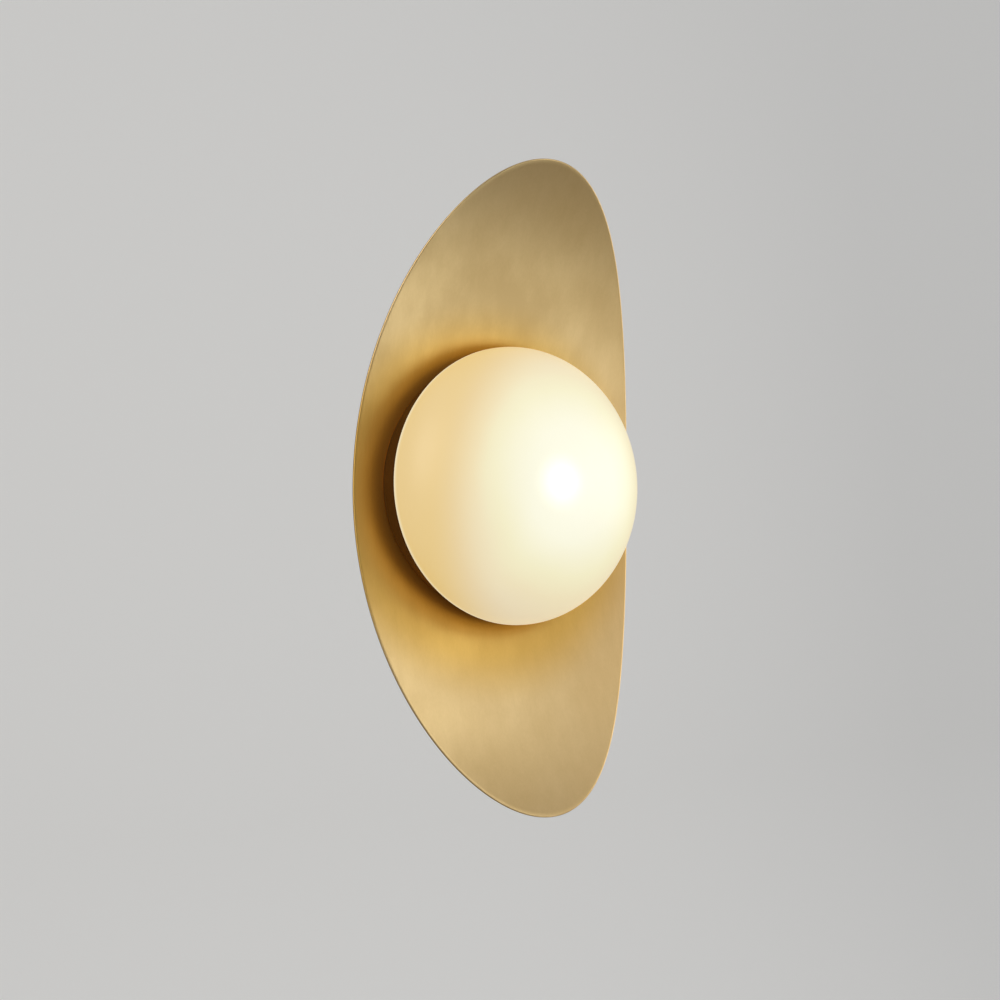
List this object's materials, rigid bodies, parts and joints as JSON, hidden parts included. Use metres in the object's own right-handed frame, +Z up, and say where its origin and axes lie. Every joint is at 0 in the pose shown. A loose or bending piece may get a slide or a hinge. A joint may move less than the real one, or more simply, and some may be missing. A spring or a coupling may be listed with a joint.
{
  "type": "wall sconce",
  "caption": "Wall light: a tall oval brass reflector plate bent about a level axis, with a flattened opal glass dome on a short drum and a round canopy on a wall bracket.",
  "frame": {"origin": "middle of the wall bracket's slot pattern, on the wall plane", "axes": "+Z up, -Y away from the wall towards the room, +X to the right as seen from the room"},
  "size_m": [0.177, 0.0836, 0.338],
  "materials": {
    "brushed_brass": "fine satin brush, lacquered",
    "drum_brass": "satin, spun",
    "floor_brass": "satin",
    "canopy_brass": "satin",
    "turned_brass": "turned",
    "knurled_brass": "knurled, satin",
    "terminal_brass": "plain",
    "zinc_steel": "zinc plated",
    "spring_steel": "bright spring steel",
    "opal_glass": "satin opal, lit from inside",
    "bulb_cover": "frosted",
    "bulb_plastic": "moulded",
    "led_core": "phosphor coated chips",
    "holder_ceramic": "unglazed ceramic",
    "block_plastic": "moulded",
    "dark_rubber": "matt",
    "brown_wire": "silicone insulation",
    "blue_wire": "silicone insulation",
    "green_wire": "silicone insulation"
  },
  "bodies": {
    "wall_bracket": {"wall_bracket": "zinc_steel"},
    "side_screw_left": {"side_stud_left": "zinc_steel", "side_knob_left": "knurled_brass"},
    "side_screw_right": {"side_stud_right": "zinc_steel", "side_knob_right": "knurled_brass"},
    "lamp_body": {"canopy": "canopy_brass", "rear_spacer": "turned_brass", "reflector_plate": "brushed_brass", "front_spacer": "turned_brass", "lamp_drum": "drum_brass", "drum_floor": "floor_brass", "rim_cushion": "dark_rubber", "clamp_screws": "zinc_steel", "clamp_washers": "zinc_steel", "clamp_nuts": "zinc_steel", "holder_strap": "zinc_steel", "strap_screws": "zinc_steel", "strap_nuts": "zinc_steel", "lampholder": "holder_ceramic", "holder_contacts": "terminal_brass", "holder_screw": "zinc_steel", "dome_springs": "spring_steel", "spring_screws": "zinc_steel", "spring_nuts": "zinc_steel", "terminal_block": "block_plastic", "terminal_tubes": "terminal_brass", "terminal_screws": "zinc_steel", "block_screw": "zinc_steel", "block_nut": "zinc_steel", "earth_lug": "terminal_brass", "earth_screw": "zinc_steel", "earth_washer": "zinc_steel", "earth_nut": "zinc_steel", "live_wire": "brown_wire", "neutral_wire": "blue_wire", "earth_wire": "green_wire"},
    "bulb": {"bulb_base": "bulb_plastic", "bulb_pins": "zinc_steel", "bulb_led_core": "led_core", "bulb_cover": "bulb_cover"},
    "glass_dome": {"glass_dome": "opal_glass"}
  },
  "joints": [
    {"name": "side_screw_left_turn", "type": "hinge", "parent": "wall_bracket", "child": "side_screw_left", "pos_m": [-0.05, -0.01, 0], "axis": [1, 0, 0], "continuous": true},
    {"name": "side_screw_right_turn", "type": "hinge", "parent": "wall_bracket", "child": "side_screw_right", "pos_m": [0.05, -0.01, 0], "axis": [1, 0, 0], "continuous": true},
    {"name": "canopy_lift_off", "type": "slide", "parent": "wall_bracket", "child": "lamp_body", "axis": [0, -1, 0], "range_m": [0, 0.04]},
    {"name": "dome_pull_off", "type": "slide", "parent": "lamp_body", "child": "glass_dome", "axis": [0, -1, 0], "range_m": [0, 0.06]},
    {"name": "bulb_pull_out", "type": "slide", "parent": "lamp_body", "child": "bulb", "axis": [0, -1, 0], "range_m": [0, 0.007]}
  ]
}
